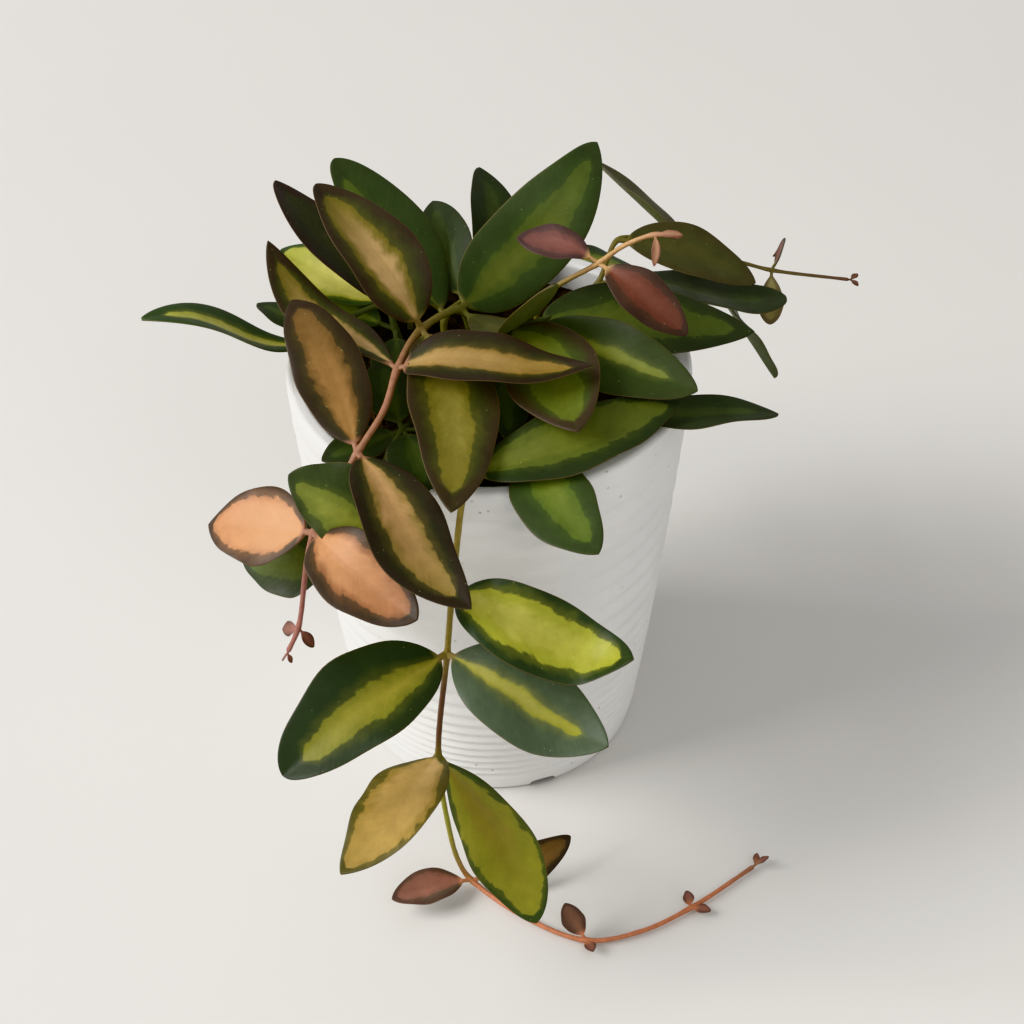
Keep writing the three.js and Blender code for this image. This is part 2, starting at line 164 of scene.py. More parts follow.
# Leaf colourings: the heart of the pale band, the band's outer part, the green margin, and the
# sun-flushed rim with how strong the flush is
LOOKS = {
    "green": ((108, 122, 52), (88, 106, 44), (58, 74, 40), (54, 58, 36), 0.3),
    "fresh": ((146, 150, 54), (112, 128, 42), (48, 68, 28), (46, 50, 28), 0.3),
    "dark": ((70, 82, 42), (60, 74, 38), (46, 58, 32), (44, 46, 30), 0.35),
    "lime": ((196, 190, 104), (162, 164, 68), (48, 70, 30), (46, 58, 30), 0.2),
    "yellow": ((182, 178, 84), (160, 162, 58), (38, 58, 24), (40, 48, 26), 0.25),
    "blue": ((186, 180, 98), (152, 152, 56), (86, 100, 78), (72, 84, 66), 0.25),
    "olive": ((142, 130, 52), (138, 136, 46), (46, 72, 26), (66, 62, 28), 0.3),
    "gold": ((196, 162, 98), (170, 142, 74), (66, 80, 32), (104, 78, 40), 0.4),
    "cream": ((202, 168, 116), (118, 108, 44), (60, 66, 36), (62, 50, 38), 0.95),
    "tan": ((166, 136, 84), (132, 108, 52), (48, 50, 26), (48, 38, 27), 1.0),
    "fawn": ((184, 146, 98), (136, 116, 62), (44, 48, 26), (46, 38, 27), 1.0),
    "amber": ((154, 116, 68), (108, 82, 44), (48, 46, 24), (52, 40, 26), 1.0),
    "orange": ((218, 162, 114), (200, 142, 98), (64, 60, 42), (76, 58, 44), 0.9),
    "pink": ((156, 108, 92), (138, 96, 82), (96, 84, 70), (90, 66, 58), 0.9),
    "purple": ((134, 88, 80), (116, 78, 72), (92, 70, 66), (80, 60, 58), 0.9),
    "red": ((122, 74, 60), (108, 66, 54), (78, 58, 46), (68, 50, 42), 0.95),
    "bud": ((142, 98, 84), (132, 90, 78), (112, 80, 70), (96, 68, 60), 0.6),
    "drab": ((82, 82, 46), (78, 78, 44), (72, 74, 42), (72, 62, 38), 0.6),
    "meadow": ((110, 120, 58), (92, 108, 54), (66, 84, 48), (62, 64, 40), 0.3),
    "laurel": ((142, 148, 66), (110, 120, 52), (54, 68, 32), (52, 54, 32), 0.3),
    "fern": ((104, 112, 50), (88, 98, 42), (42, 56, 26), (36, 42, 24), 0.4),
    # shade: a darker copy of the green colouring for leaves deep in the plant, painted shade
    "shade": ((92, 104, 48), (78, 92, 42), (50, 62, 34), (46, 50, 34), 0.4),
    "moss": ((148, 140, 60), (122, 122, 44), (38, 54, 26), (42, 48, 28), 0.3),
    "loden": ((148, 138, 72), (118, 110, 46), (58, 64, 30), (58, 48, 32), 0.95),
    "olivine": ((112, 118, 48), (94, 106, 40), (58, 70, 32), (64, 52, 38), 0.95),
    "peach": ((200, 146, 102), (158, 108, 72), (60, 56, 40), (66, 52, 40), 0.95),
    "russet": ((126, 92, 74), (110, 80, 66), (92, 68, 58), (80, 58, 50), 0.8),
    "khaki": ((152, 142, 96), (142, 132, 88), (122, 112, 76), (106, 90, 66), 0.8),
    "sprout": ((170, 128, 100), (160, 118, 92), (146, 106, 84), (132, 88, 76), 0.7),
    "plum": ((60, 62, 36), (54, 56, 34), (48, 50, 32), (54, 42, 34), 1.0),
}

# Stem colours
TWIG = {
    "green": (96, 106, 50),
    "olive": (122, 112, 62),
    # shade: a darker stem colour for stems deep in the plant, painted shade
    "shade": (70, 78, 44),
    "moss": (110, 100, 62),
    "straw": (150, 134, 76),
    "lime": (150, 150, 66),
    "brown": (104, 76, 60),
    "rose": (154, 112, 88),
    "pink": (156, 106, 96),
    "peach": (190, 124, 92),
    "tan": (190, 152, 106),
}


def bud(point, heading, pitch, roll, length, width, stalk, arch=0.05, look="bud"):
    """The row of a tiny leaf, see below."""
    return (point, heading, pitch, roll, length, width, stalk, arch, 0, 0, 10, 0, 0.5, look, 0.6, 0.4, 0)


# Every stem is the run of points that it passes through after it leaves the mix at its root, with its
# radius at both ends and its colours from root to tip. A leaf row gives, in this order: the point it grows
# from, heading, pitch and roll, blade length, width and stalk length, arch, sway and curl as shares of the
# length, cup and twist, where along the blade it is widest, its colouring, the half-widths of the pale band
# and of its heart with the band's offset, as shares of the half-width, and for some how blunt the tip is.
# A row that ends at its colouring has the plain band.
STEMS = {}
STEMS["left"] = {
    "radius": (1.35, 0.75),
    "root": (-4, 14),
    "tints": "green green olive rose rose rose pink pink",
    "path": [
        (-6, 12, 155), (-9, 8, 165), (-21, -6, 168), (-28, -27, 169), (-32, -41, 164.5),
        (-40, -53, 158), (-54, -66, 138), (-61, -71, 103), (-65, -73, 94),
    ],
    "leaves": [
        (1, 50, 20, -42, 73, 29, 3, -0.04, -0.05, -0.08, 2, 5, 0.42, "meadow", 0.42, 0.2, -0.05),
        (1, -50, 37, 0, 53, 20, 3, -0.16, 0.02, -0.05, 0, -10, 0.47, "drab"),
        (2, 138, 40, 2, 52.5, 28, 3, 0.11, 0.02, 0.02, 18, 25, 0.42, "cream", 0.52, 0.32, 0.1, 0.3),
        (2, -83, -9, 6, 70, 27.5, 4, 0.04, 0.07, 0.03, 9, -4, 0.44, "loden", 0.5, 0.3, -0.08, 0.2),
        (3, 129, 11, -12, 64.5, 20.5, 2.5, -0.11, 0.01, 0.035, 4, -18, 0.47, "cream", 0.45, 0.36, 0, 0.1),
        (3, -11, 8, -5, 58, 23.5, 2.5, 0.03, -0.005, 0.04, 16, 0, 0.36, "tan", 0.4, 0.34, 0, 0.02),
        (5, 113, 23, 10, 53, 22, 3, 0.05, -0.03, -0.04, 0, -5, 0.45, "amber", 0.56, 0.4, 0, 0.3),
        (5, -56, -17, 0, 59, 26, 3, 0.05, -0.07, 0.06, 14, 20, 0.47, "fawn", 0.46, 0.34, 0, 0.1),
        (6, -48, -4, -30, 44, 24, 3, 0.1, -0.03, 0.04, 15, 12, 0.46, "peach", 0.7, 0.52, 0.04, 0.3),
        (6, 154, -16, 29, 36, 26, 3, 0.01, -0.02, -0.02, 5, 10, 0.45, "orange", 0.76, 0.64, 0),
        bud(7, 150, -30, 45, 6, 5, 1, arch=0),
        bud(7, -30, -50, 0, 6.5, 4.5, 1.5, arch=0),
        bud(8, 170, -62, 0, 3.6, 2.2, 0.5, arch=0),
        bud(8, -40, -66, 0, 3.2, 2, 0.5, arch=0),
    ],
}
STEMS["front"] = {
    "radius": (1.05, 0.72),
    "root": (6, -34),
    "tints": (
        "green green olive straw straw straw straw brown brown "
        "lime lime straw peach peach peach peach peach peach rose"
    ),
    "path": [
        (4, -47, 151), (-7, -59, 153), (-9, -69, 151.5), (-13, -79, 122), (-15, -83, 102),
        (-19, -89, 63), (-17, -92, 34), (-14, -92, 14), (-10, -92, 4), (6, -105, 1.5),
        (27, -116, 1.5), (45, -113, 1.5), (62, -104, 1.5), (85, -87, 1.5),
    ],
    "leaves": [
        (1, 21, 5, -10, 67.5, 25, 3, 0.05, -0.05, 0, 8, 0, 0.43, "fern", 0.66, 0.34, 0.14, 0),
        (3, -32, 5, -30, 59, 25, 3, 0.04, -0.04, 0.13, 10, -10, 0.49, "yellow", 0.66, 0.4, 0.05),
        (4, -142, -10, 20, 60, 32, 3, 0.11, -0.02, 0, 20, 5, 0.46, "moss", 0.38, 0.2, 0.14, 0.32),
        (4, -34, -8, -27, 55, 28, 3, 0.07, -0.02, 0.08, 10, -5, 0.48, "blue", 0.15, 0.1, 0, 0.2),
        (5, -123, -2, -10, 51, 27, 3, 0.1, 0.1, 0.02, 14, -15, 0.46, "gold", 0.86, 0.66, 0, 0.12),
        (5, -52, -38, -55, 58, 26, 3, 0.03, 0.08, 0, 10, -38, 0.5, "olive", 0.86, 0.4, 0),
        (8, -160, 6, 15, 25, 13, 3, 0.04, -0.02, 0, 14, -10, 0.48, "pink", 0.62, 0.4, -0.1),
        (8, 16, 16, -62, 33, 15, 3, 0.06, -0.05, 0, 15, 0, 0.47, "amber", 0.7, 0.5, 0),
        (10, 130, 42, 40, 12, 8, 2, 0.05, 0, 0, 10, 0, 0.5, "russet", 0.6, 0.3, 0),
        bud(10, -70, 12, 0, 5, 4, 1),
        bud(12, 110, 50, 0, 5, 4, 1),
        bud(12, -20, 10, 0, 6, 4, 1),
        bud(13, 20, 25, 10, 5, 2.6, 0.6),
        bud(13, 75, 15, -10, 4, 2.4, 0.6),
    ],
}
STEMS["shoot"] = {
    "radius": (1.05, 0.7),
    "root": (14, 12),
    "tints": "green olive olive olive tan tan pink",
    "path": [(15, 10, 156), (18, 10, 168), (35, 9, 181), (43, 7, 189), (52, 5, 194), (60, 2, 195)],
    "leaves": [
        (2, 163, 10, 22, 24, 13, 3, 0.06, -0.05, 0.02, 15, -15, 0.48, "purple", 0.6, 0.35, 0),
        (2, -35, -24, -30, 33, 16, 3, 0.07, 0, 0.02, 18, 0, 0.46, "red", 0.6, 0.35, 0.1),
        bud(4, -20, 10, 0, 8, 4, 1, look="sprout"),
        (4, -95, -40, 0, 9, 3, 1, 0.15, 0.05, 0, 20, 0, 0.5, "sprout", 0.6, 0.4, 0),
    ],
}
STEMS["right"] = {
    "radius": (0.9, 0.55),
    "root": (24, 28),
    "tints": "green olive olive moss moss brown",
    "path": [
        (29, 29, 152), (36, 31, 157), (43, 40, 168), (57, 50, 159), (69, 54, 154),
        (87, 55, 147), (97, 56, 143), (125, 59, 136),
    ],
    "leaves": [
        (2, 0, -22, -18, 47, 21.5, 3, 0.03, 0.05, 0, 12, 0, 0.45, "drab"),
        (4, 123, 6, -42, 52, 22, 3, 0, 0.02, 0, 14, -15, 0.47, "drab"),
        (4, -12, -58, 24, 57, 26, 3, 0, 0, 0, 10, -30, 0.5, "dark"),
        (6, 61, 40, 60, 9, 10, 1.5, 0, -0.3, 0, 10, 0, 0.55, "red", 0.5, 0.3, 0),
        (6, -94, -54, 0, 17, 9, 1.5, 0.05, 0, 0, 10, 0, 0.56, "khaki", 0.5, 0.3, 0, 0.3),
        (1, 8, -12, 14, 62, 30, 4, 0.01, -0.04, 0.03, 7, 20, 0.48, "dark", 0.3, 0.1, 0, 0.35),
        bud(7, 40, 10, 0, 3.2, 2.4, 0.5, look="red"),
        bud(7, -50, -10, 0, 3.2, 2.2, 0.5, look="red"),
    ],
}
STEMS["middle"] = {
    "radius": (1.1, 0.9),
    "root": (2, -12),
    "tints": "shade shade shade",
    "path": [(3, -9, 156), (6, -4, 167), (14, -4, 168), (20, -3, 170)],
    "leaves": [
        (2, 6, -9, -18, 69, 29, 3, 0, 0.025, 0, 8, 10, 0.38, "shade", 0.5, 0.3, 0, 0.1),
        (2, -33, -3, -32, 55.5, 24, 3, 0.04, -0.03, 0, 15, 0, 0.47, "laurel", 0.14, 0.1, 0.1),
        (1, -69, -1, -20, 51, 29, 4, 0.02, 0.06, 0.02, 4, -14, 0.48, "olivine", 0.56, 0.3, 0, 0.1),
        (0, -86, -9, 10, 27, 15, 5, 0.04, 0.02, 0, 12, 0, 0.46, "dark"),
    ],
}
STEMS["rim"] = {
    "radius": (1.1, 0.9),
    "root": (16, -32),
    "tints": "shade shade shade",
    "path": [(11, -45, 152), (24, -41, 154), (34, -34, 157), (41, -31, 159)],
    "leaves": [
        (2, 5, -8, 8, 53, 20, 3, 0, -0.03, -0.02, 10, -4, 0.47, "dark", 0.25, 0.1, 0),
        (0, -66, -5, -12, 44, 24, 4, 0.055, -0.06, 0.02, 4, 0, 0.47, "green", 0.45, 0.25, 0.1),
    ],
}
STEMS["back"] = {
    "radius": (1.15, 0.8),
    "root": (-14, 16),
    "tints": "green olive olive brown rose",
    "path": [
        (-14, 19, 154), (-8, 27, 154), (-1, 34, 153), (11, 45, 153), (16, 56, 156),
        (19, 66, 154), (21, 73, 138), (21, 77, 110), (20, 79, 88),
    ],
    "leaves": [
        (0, 127, 27, -12, 64, 29, 3, 0, -0.04, 0, 10, -15, 0.46, "green", 0.32, 0.18, 0.36, 0.3),
        (1, 102, 10, 20, 45, 20, 3, 0.05, 0, 0, 15, 0, 0.47, "dark"),
        (2, 91, 19, -30, 48, 21, 3, 0.08, -0.04, 0, 17, 5, 0.47, "dark"),
        (6, 15, -30, 15, 49, 25, 3, 0.08, 0, 0, 14, 0, 0.47, "fresh", 0.5, 0.3, 0),
        (6, 145, -30, -15, 47, 24, 3, 0.08, 0, 0, 14, 0, 0.47, "yellow", 0.4, 0.2, 0.1),
        (7, 55, -45, 0, 45, 23, 3, 0.08, 0, 0, 14, 0, 0.47, "lime", 0.45, 0.25, 0),
        (7, 125, -50, 0, 39, 20, 3, 0.08, 0, 0, 14, 0, 0.47, "olive", 0.6, 0.3, 0),
        (8, 90, -30, 0, 12, 7, 2, 0.06, 0, 0, 14, 0, 0.47, "red", 0.5, 0.3, 0),
    ],
}
STEMS["side"] = {
    "radius": (1.1, 0.8),
    "root": (-26, 10),
    "tints": "shade shade shade shade",
    "path": [(-30, 13, 154), (-33, 16, 161), (-45, 11, 160), (-55, 4, 156), (-62, 0, 155)],
    "leaves": [
        (1, 135, 27, -20, 53, 24, 3, 0.02, 0.05, 0, 11, 0, 0.47, "plum", 0.4, 0.2, 0),
        (1, 137, 0, 18, 45, 21, 3, 0.05, 0.03, 0, 15, 0, 0.47, "lime", 0.78, 0.6, 0),
        (3, 189, 18, -16, 53, 25, 3, 0, 0, -0.05, 10, -4, 0.47, "lime", 0.3, 0.16, 0),
        (3, 135, 3, -6, 25, 12, 3, 0.06, 0, 0, 16, 0, 0.47, "dark"),
        (0, 150, 3, 10, 32, 17, 5, 0.04, 0.03, 0, 14, 0, 0.47, "green", 0.3, 0.16, 0),
        (0, -92, -6, 0, 27, 16, 5, 0.03, 0.03, 0, 14, 0, 0.47, "dark"),
    ],
}
STEMS["corner"] = {
    "radius": (1.0, 0.8),
    "root": (-22, -22),
    "tints": "shade shade shade pink",
    "path": [(-27, -38, 154), (-33, -56, 152), (-33, -68, 143), (-42, -73, 134), (-50, -60, 120)],
    "leaves": [
        (2, 160, 21, 46, 29.5, 24.5, 2, 0.02, 0, 0, 4, 0, 0.36, "laurel", 0.4, 0.2, 0.3),
        (4, 152, -20, 36, 33.5, 25, 2, 0.02, 0, 0, 8, 0, 0.34, "shade", 0.5, 0.3, 0.1),
        (0, -154, -3, 5, 24, 15, 3, 0.03, 0.03, 0, 10, 0, 0.47, "dark"),
        (0, 0, -8, -10, 19, 13, 4, 0.03, 0.03, 0, 14, 0, 0.47, "dark"),
        (0, 102, 8, 0, 27, 19, 3, 0.03, 0.03, 0, 8, 0, 0.47, "dark"),
        (0, -75, -6, 5, 24, 20, 3, 0.06, 0.03, 0, 12, 0, 0.47, "dark"),
    ],
}
STEMS["rear"] = {
    "radius": (1.05, 0.75),
    "root": (-26, 32),
    "tints": "green olive brown rose",
    "path": [
        (-31, 44, 153), (-34, 55, 156), (-37, 64, 153), (-39, 70, 136), (-40, 73, 110),
        (-39, 75, 92),
    ],
    "leaves": [
        (3, 75, -35, 0, 45, 23, 3, 0.08, 0, 0, 14, 0, 0.47, "fresh", 0.45, 0.25, 0),
        (3, 165, -35, -15, 41, 21, 3, 0.08, 0, 0, 14, 0, 0.47, "cream", 0.5, 0.3, 0),
        (4, 140, -45, 0, 39, 20, 3, 0.08, 0, 0, 14, 0, 0.47, "yellow", 0.5, 0.3, 0),
        (4, 60, -60, 0, 35, 18, 3, 0.08, 0, 0, 14, 0, 0.47, "gold", 0.7, 0.5, 0),
        (5, 100, -30, 0, 10, 6, 2, 0.06, 0, 0, 14, 0, 0.47, "bud", 0.5, 0.3, 0),
    ],
}


# Vector helpers on arrays of points, one a row


def unit(vectors):
    return vectors / np.linalg.norm(vectors, axis=-1, keepdims=True)


def square_to(vectors, direction):
    """The vectors less their part along direction, at length 1."""
    along = np.sum(vectors * direction, axis=-1, keepdims=True)
    return unit(vectors - along * direction)


def smooth(low, high, value):
    share = np.clip((value - low) / (high - low), 0, 1)
    return share * share * (3 - 2 * share)


# Meshes


def mesh_object(name, points, faces):
    """A new object in the scene, from points in millimetres."""
    mesh = bpy.data.meshes.new(name)
    mesh.from_pydata((np.asarray(points) * MM).tolist(), [], faces)
    mesh.update()
    piece = bpy.data.objects.new(name, mesh)
    bpy.context.scene.collection.objects.link(piece)
    return piece


class Skin:
    """Collects rings of points into one mesh, with values that its materials read."""

    def __init__(self):
        self.points = []
        self.faces = []
        self.slots = []
        self.values = {}
        self.count = 0

    def loft(self, rings, slot, **values):
        """Adds a closed tube through rings, an array of rings by points by 3."""
        many, sides, _ = rings.shape
        first = self.count + np.arange(many * sides).reshape(many, sides)
        a, b = first[:-1], first[1:]
        c, d = np.roll(b, -1, axis=1), np.roll(a, -1, axis=1)
        quads = np.stack([a, b, c, d], axis=-1).reshape(-1, 4)
        self.faces += quads.tolist()
        self.faces += [first[0].tolist(), first[-1][::-1].tolist()]
        self.slots += [slot] * (len(quads) + 2)
        self.points.append(rings.reshape(-1, 3))
        for name, value in values.items():
            wide = np.broadcast_to(value, (many, sides, value.shape[-1]))
            self.values.setdefault(name, []).append(wide.reshape(many * sides, -1))
        self.count += many * sides

    def build(self, name, materials):
        piece = mesh_object(name, np.concatenate(self.points), self.faces)
        mesh = piece.data
        mesh.polygons.foreach_set("material_index", self.slots)
        mesh.polygons.foreach_set("use_smooth", [True] * len(self.faces))
        for key, parts in self.values.items():
            data = np.concatenate(parts)
            kind, field = ("FLOAT_VECTOR", "vector") if data.shape[1] == 3 else ("FLOAT_COLOR", "color")
            attribute = mesh.attributes.new(key, kind, "POINT")
            attribute.data.foreach_set(field, data.astype(np.float32).ravel())
        for material in materials:
            mesh.materials.append(material)
        mesh.update()
        return piece


# Material helpers


class Nodes:
    """Builds a material's node tree with one short call a node."""

    def __init__(self, name):
        self.material = bpy.data.materials.new(name)
        self.material.use_nodes = True
        self.tree = self.material.node_tree
        self.tree.nodes.clear()

    def add(self, kind, **settings):
        node = self.tree.nodes.new("ShaderNode" + kind)
        for key, value in settings.items():
            setattr(node, key, value)
        return node

    def put(self, value, socket):
        if isinstance(value, bpy.types.NodeSocket):
            self.tree.links.new(value, socket)
        else:
            socket.default_value = value

    def math(self, operation, *values):
        node = self.add("Math", operation=operation)
        for value, socket in zip(values, node.inputs):
            self.put(value, socket)
        return node.outputs[0]

    def times(self, *values):
        return reduce(lambda a, b: self.math("MULTIPLY", a, b), values)

    def total(self, *values):
        return reduce(lambda a, b: self.math("ADD", a, b), values)

    def linear(self, value, slope, start):
        return self.total(self.times(value, slope), start)

    def smooth(self, value, low, high):
        node = self.add("MapRange", interpolation_type="SMOOTHSTEP")
        for item, socket in zip((value, low, high), node.inputs):
            self.put(item, socket)
        return node.outputs[0]

    def mix(self, share, a, b, blend="MIX"):
        node = self.add("Mix", data_type="RGBA", blend_type=blend)
        self.put(share, node.inputs["Factor"])
        self.put(a, node.inputs[6])
        self.put(b, node.inputs[7])
        return node.outputs[2]

    def tinted(self, color, mask, strength, tint):
        """The colour with up to strength of a tint where the mask is 1."""
        return self.mix(self.times(mask, strength), color, tint)

    def shaded(self, color, light):
        """The colour times a lightness."""
        return self.mix(1.0, color, self.join(light, light, light), "MULTIPLY")

    def attribute(self, name, output="Color"):
        return self.add("Attribute", attribute_name=name).outputs[output]

    def split(self, vector):
        node = self.add("SeparateXYZ")
        self.put(vector, node.inputs[0])
        return node.outputs

    def join(self, x, y, z):
        node = self.add("CombineXYZ")
        for value, socket in zip((x, y, z), node.inputs):
            self.put(value, socket)
        return node.outputs[0]

    def place(self):
        """The object's own coordinates, in millimetres."""
        node = self.add("VectorMath", operation="SCALE")
        self.put(self.add("TexCoord").outputs["Object"], node.inputs[0])
        node.inputs["Scale"].default_value = 1 / MM
        return node.outputs[0]

    def noise(self, vector, scale, detail=3, roughness=0.5):
        node = self.add("TexNoise")
        self.put(vector, node.inputs["Vector"])
        node.inputs["Scale"].default_value = scale
        node.inputs["Detail"].default_value = detail
        node.inputs["Roughness"].default_value = roughness
        return node.outputs["Fac"]

    def swing(self, vector, scale, detail=3, roughness=0.5):
        """Noise about zero."""
        return self.math("SUBTRACT", self.noise(vector, scale, detail, roughness), 0.5)

    def cells(self, vector, scale):
        node = self.add("TexVoronoi")
        self.put(vector, node.inputs["Vector"])
        node.inputs["Scale"].default_value = scale
        return node.outputs["Distance"], self.split(node.outputs["Color"])

    def dots(self, vector, scale, outside, inside, channel, rare, sure):
        """Soft dots in those cells whose random value in a channel lies above rare."""
        distance, chance = self.cells(vector, scale)
        return self.times(self.smooth(distance, outside, inside), self.smooth(chance[channel], rare, sure))

    def bump(self, height, distance, normal=None):
        node = self.add("Bump")
        node.inputs["Distance"].default_value = distance * MM
        self.put(height, node.inputs["Height"])
        if normal is not None:
            self.put(normal, node.inputs["Normal"])
        return node.outputs[0]

    def finish(self, color, roughness, normal=None, **constants):
        shader = self.add("BsdfPrincipled")
        self.put(color, shader.inputs["Base Color"])
        self.put(roughness, shader.inputs["Roughness"])
        if normal is not None:
            self.put(normal, shader.inputs["Normal"])
        for key, value in constants.items():
            shader.inputs[key.replace("_", " ")].default_value = value
        output = self.add("OutputMaterial")
        self.tree.links.new(shader.outputs[0], output.inputs["Surface"])
        return self.material


# Materials


def blade_spot(n):
    """Where a point lies on its blade and what the blade's colours are, from what leaf_values() wrote."""
    at = SimpleNamespace()
    at.along, at.across, seed = n.split(n.attribute("leaf", "Vector"))
    length, half, at.under = n.split(n.attribute("size", "Vector"))
    side_mm = n.times(at.across, half)
    at.along_mm = n.times(at.along, length)
    at.reach = n.math("ABSOLUTE", at.across)
    at.reach_mm = n.math("ABSOLUTE", side_mm)
    apart = n.times(seed, LEAVES_APART)
    veinwise = n.math("SUBTRACT", at.along_mm, at.reach_mm)
    at.lane = n.join(veinwise, n.times(side_mm, 0.3), apart)
    at.flat = n.join(at.along_mm, side_mm, apart)
    at.flush = n.attribute("rim", "Alpha")
    for key in ("inner", "outer", "margin", "rim", "tint"):
        setattr(at, key, n.attribute(key))
    return at


def band_masks(n, at):
    """The pale band, the soft halo beside it and its heart, with borders that are jagged along the veins."""
    outer_width, inner_width, offset = n.split(n.attribute("band", "Vector"))
    jags = n.times(n.swing(at.lane, 0.3, 4, 0.6), 0.34)
    drift = n.times(n.swing(at.flat, 0.08, 3, 0.55), 0.5)
    lobes = n.times(n.swing(at.flat, 0.24, 2), 0.36)
    wander = n.times(n.total(jags, drift, lobes), n.linear(outer_width, 0.75, 0.3))
    from_band = n.math("ABSOLUTE", n.math("SUBTRACT", at.across, offset))
    outer_edge = n.total(n.math("SUBTRACT", outer_width, from_band), wander)
    inner_edge = n.total(n.math("SUBTRACT", inner_width, from_band), n.times(wander, 1.2))
    band = n.smooth(outer_edge, -0.035, 0.045)
    halo = n.times(n.smooth(outer_edge, -0.3, 0.02), 0.22)
    heart = n.times(n.smooth(inner_edge, -0.16, 0.16), n.smooth(at.along, 0.95, 0.3))
    return band, halo, heart


def blade_color(n, at, band, halo, heart):
    """The green blade with its flushed rim and its pale band."""
    rim_wander = n.times(n.swing(at.flat, 0.2, 3), 0.5)
    tip_reach = n.times(n.smooth(at.along, 0.78, 0.97), 0.8)
    rim = n.times(n.smooth(n.total(at.reach, rim_wander, tip_reach), 0.45, 0.95), at.flush)
    green = n.mix(halo, n.mix(rim, at.margin, at.rim), at.outer)
    banded = n.mix(heart, n.mix(band, green, at.outer), at.inner)
    return n.mix(n.times(rim, 0.35, band), banded, at.rim)


def blade_details(n, at, color, band):
    """Adds an uneven tone, veins, the midrib, the edge and pale specks to a blade's colour."""
    color = n.shaded(color, n.linear(n.noise(at.flat, 0.16, 4, 0.6), 0.6, 0.7))
    color = n.shaded(color, n.linear(n.noise(at.lane, 0.55, 3), 0.16, 0.92))
    before_tip = n.times(n.smooth(at.along, 0.95, 0.7), n.linear(band, 0.75, 0.25))
    midrib_line = n.times(n.smooth(at.reach_mm, 0.75, 0.1), 0.24, before_tip)
    color = n.mix(midrib_line, color, n.mix(0.5, at.outer, at.inner))
    color = n.tinted(color, n.smooth(at.reach, 0.965, 1.0), 0.45, EDGE_TINT)
    specks = n.dots(at.flat, 0.55, 0.13, 0.06, 0, 0.86, 0.9)
    return n.tinted(color, specks, 0.55, SPECK_TINT)


def leaf_material():
    """A waxy blade, paler below, with a little grey mixed in as painted sheen, that takes the stem's colour
    where its stalk leaves the stem.
    """
    n = Nodes("leaf_blade")
    at = blade_spot(n)
    band, halo, heart = band_masks(n, at)
    color = blade_details(n, at, blade_color(n, at, band, halo, heart), band)
    color = n.mix(n.smooth(at.along_mm, 2.6, 0.2), color, at.tint)
    color = n.tinted(color, at.under, 0.8, n.mix(0.5, color, UNDERSIDE_TINT))
    # painted sheen: a little grey over the whole blade
    color = n.mix(SHEEN_GREY_SHARE, color, SHEEN_GREY_TINT)
    rough = n.total(n.linear(n.noise(at.flat, 0.5, 3), 0.16, 0.4), n.times(at.under, 0.12))
    grain = n.bump(n.noise(at.flat, 2.6, 2), 0.05)
    ripple = n.bump(n.noise(at.lane, 0.42, 2), 0.1, grain)
    return n.finish(
        color,
        rough,
        ripple,
        Specular_IOR_Level=0.28,
        Subsurface_Weight=0.06,
        Subsurface_Radius=(0.6, 0.8, 0.25),
        Subsurface_Scale=MM,
    )


def twig_material():
    """Stem skin in the stem's own colours, with a few brown scars."""
    n = Nodes("stem_skin")
    place = n.place()
    tone = n.noise(place, 0.5, 4, 0.6)
    color = n.shaded(n.attribute("tint"), n.linear(tone, 0.7, 0.65))
    color = n.tinted(color, n.smooth(n.noise(place, 1.9, 2), 0.62, 0.7), 0.35, SCAR_TINT)
    streaks = n.bump(n.noise(place, 2.4, 3), 0.12)
    return n.finish(color, n.linear(tone, 0.2, 0.42), streaks, Specular_IOR_Level=0.4)


def pot_material():
    """White glaze, slightly uneven, with pin holes and a few small specks."""
    n = Nodes("white_glaze")
    place = n.place()
    tone = n.smooth(n.noise(place, 0.035, 3), 0.3, 0.75)
    color = n.mix(tone, (0.80, 0.80, 0.79, 1.0), (0.86, 0.855, 0.84, 1.0))
    pits = n.dots(place, 0.28, 0.16, 0.05, 1, 0.8, 0.84)
    color = n.tinted(color, pits, 0.4, (0.34, 0.33, 0.31, 1.0))
    dust = n.dots(place, 0.7, 0.12, 0.05, 2, 0.93, 0.95)
    color = n.tinted(color, dust, 0.4, (0.45, 0.42, 0.38, 1.0))
    rough = n.linear(n.noise(place, 0.2, 3), 0.16, 0.4)
    waves = n.bump(n.noise(place, 0.22, 3), 0.18)
    grain = n.bump(n.noise(place, 1.4, 3), 0.04, waves)
    pocks = n.bump(n.times(pits, -1.0), 0.25, grain)
    return n.finish(color, rough, pocks, Specular_IOR_Level=0.45)


def foot_material():
    """Bare fired clay under the foot and in its notches, a grey darkened as painted shade under the pot."""
    n = Nodes("bare_foot")
    place = n.place()
    tone = n.noise(place, 0.3, 4, 0.6)
    # the darker grey stands in for the shade under the pot and inside the notches: painted shade
    color = n.mix(tone, solid(84, 80, 74), solid(140, 134, 124))
    return n.finish(color, n.linear(tone, 0.2, 0.7), n.bump(n.noise(place, 1.5, 4), 0.15))


def mix_material():
    """Dark moist crumbs, painted darker still as the shade deep inside the pot, some of them browner bark,
    with pale fibres.
    """
    n = Nodes("potting_crumbs")
    place = n.place()
    _, chance = n.cells(place, 0.22)
    coarse = n.noise(place, 0.35, 5, 0.65)
    # all the crumb colours sit near black: the mix's own dark brown with painted shade deep in the pot
    color = n.mix(n.smooth(coarse, 0.35, 0.7), solid(18, 15, 12), solid(44, 34, 27))
    color = n.tinted(color, n.smooth(chance[0], 0.78, 0.86), 0.6, solid(66, 51, 38))
    fibre = n.smooth(n.noise(place, 2.2, 4, 0.7), 0.62, 0.74)
    color = n.tinted(color, fibre, 0.4, solid(84, 69, 54))
    lumps = n.bump(n.noise(place, 1.1, 5, 0.7), 0.6)
    return n.finish(color, n.linear(coarse, 0.25, 0.7), lumps, Specular_IOR_Level=0.25)


# Leaves


